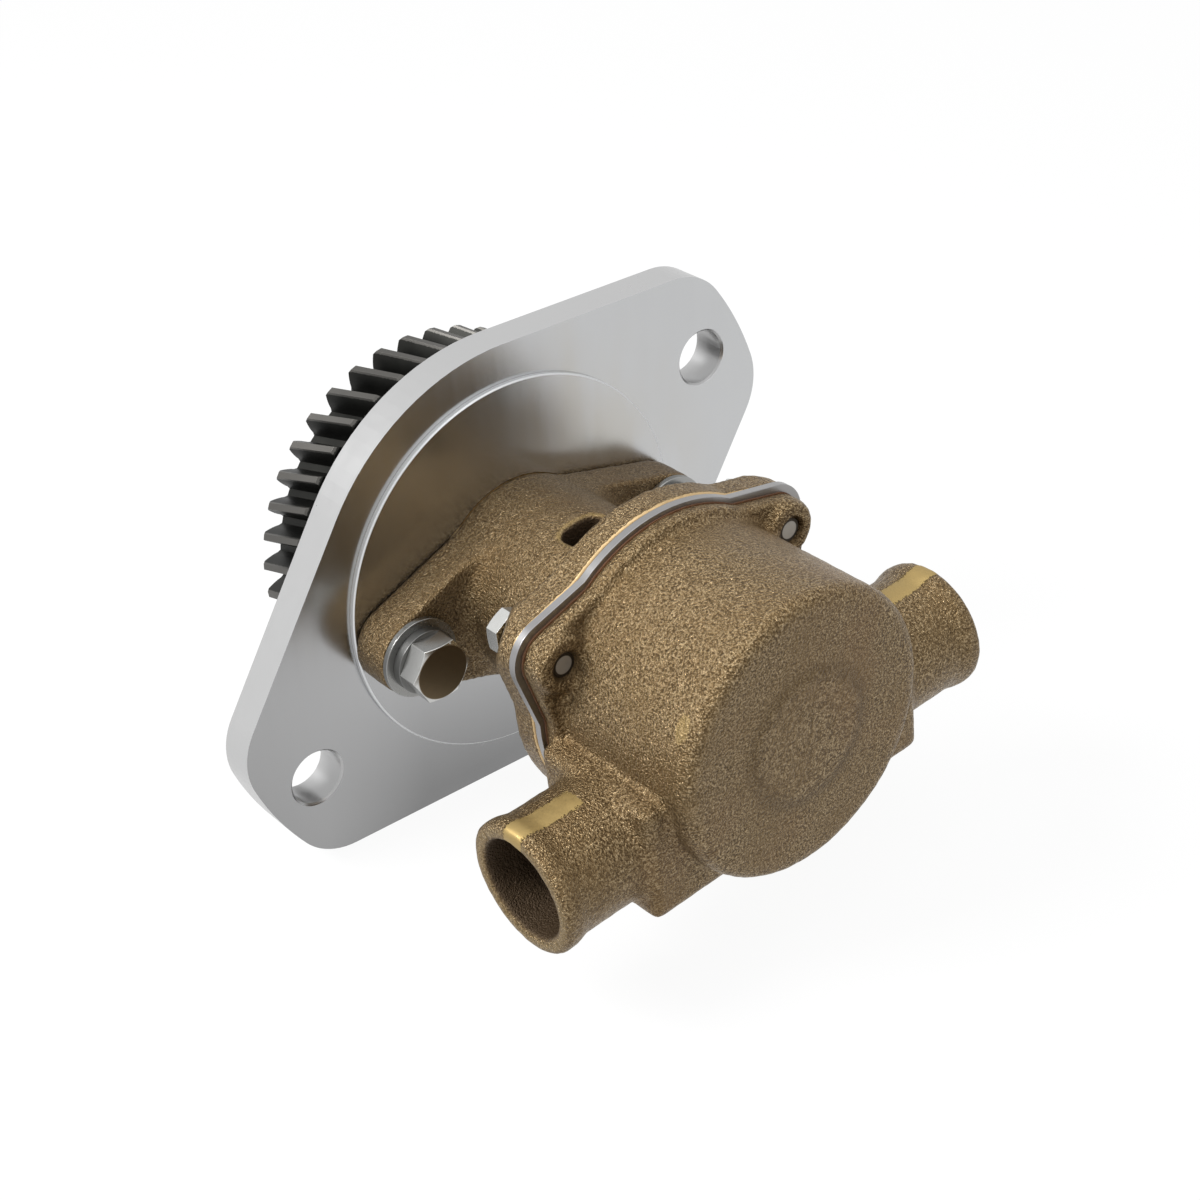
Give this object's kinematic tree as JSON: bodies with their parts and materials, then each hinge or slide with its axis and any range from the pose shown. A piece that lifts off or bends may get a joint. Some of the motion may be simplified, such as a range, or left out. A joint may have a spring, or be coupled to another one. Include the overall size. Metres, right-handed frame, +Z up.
{
  "type": "raw water pump",
  "caption": "Gear-driven flexible-impeller raw water pump: cast body with two hose ports, bearing housing, and a two-bolt flange plate with the drive gear behind it.",
  "frame": {"origin": "shaft axis, in the plane where the flange plate seats on the engine", "axes": "+Y along the shaft toward the drive gear and the engine, -Y toward the pump's closed end; +Z up as the plate's lower straight edge lies level; +X to the side of the plate's upper bolt hole"},
  "size_m": [0.165, 0.1589, 0.12],
  "materials": {
    "machined_aluminium": "machined, bright",
    "cast_bronze": "sand cast, coarse",
    "zinc_steel": "bright zinc plate",
    "gear_steel": "dark hardened, oiled",
    "plate_steel": "stainless sheet, satin",
    "shaft_steel": "ground stainless",
    "bearing_steel": "polished",
    "cage_brass": "pressed brass",
    "machined_brass": "machined brass",
    "black_rubber": "moulded nitrile",
    "gasket_paper": "fibre gasket",
    "seat_ceramic": "lapped ceramic",
    "seal_carbon": "lapped carbon"
  },
  "bodies": {
    "case": {"adapter_plate": "machined_aluminium", "bearing_housing": "cast_bronze", "housing_o_ring": "black_rubber", "foot_bolts": "zinc_steel", "foot_washers": "zinc_steel", "foot_spring_washers": "zinc_steel", "rear_bearing_outer_race": "bearing_steel", "front_bearing_outer_race": "bearing_steel", "bearing_circlip": "gear_steel", "oil_seal": "black_rubber", "seal_seat_cup": "black_rubber", "seal_seat": "seat_ceramic", "wear_plate": "plate_steel", "body_gasket": "gasket_paper", "pump_body": "cast_bronze", "body_screws": "zinc_steel", "cam": "machined_brass", "cam_screw": "machined_brass", "end_wear_disc": "plate_steel"},
    "rotor": {"rear_bearing_inner_race": "bearing_steel", "front_bearing_inner_race": "bearing_steel", "bearing_spacer": "shaft_steel", "slinger_ring": "black_rubber", "seal_ring": "seal_carbon", "seal_bellows": "black_rubber", "seal_spring": "shaft_steel", "seal_washer": "machined_brass", "drive_shaft": "shaft_steel", "gear_key": "shaft_steel", "drive_gear": "gear_steel", "gear_washer": "zinc_steel", "gear_nut": "zinc_steel", "impeller_hub": "machined_brass", "impeller_key": "shaft_steel", "impeller": "black_rubber"},
    "rear_ball_set": {"rear_bearing_balls": "bearing_steel", "rear_bearing_cage": "cage_brass"},
    "front_ball_set": {"front_bearing_balls": "bearing_steel", "front_bearing_cage": "cage_brass"}
  },
  "joints": [
    {"name": "shaft_spin", "type": "hinge", "parent": "case", "child": "rotor", "pos_m": [0, 0, 0], "axis": [0, 1, 0], "continuous": true},
    {"name": "rear_balls_spin", "type": "hinge", "parent": "case", "child": "rear_ball_set", "pos_m": [0, 0, 0], "axis": [0, 1, 0], "continuous": true},
    {"name": "front_balls_spin", "type": "hinge", "parent": "case", "child": "front_ball_set", "pos_m": [0, 0, 0], "axis": [0, 1, 0], "continuous": true}
  ],
  "couplings": [
    {"joint": "rear_balls_spin", "follows": "shaft_spin", "ratio": 0.3818},
    {"joint": "front_balls_spin", "follows": "shaft_spin", "ratio": 0.3818}
  ]
}
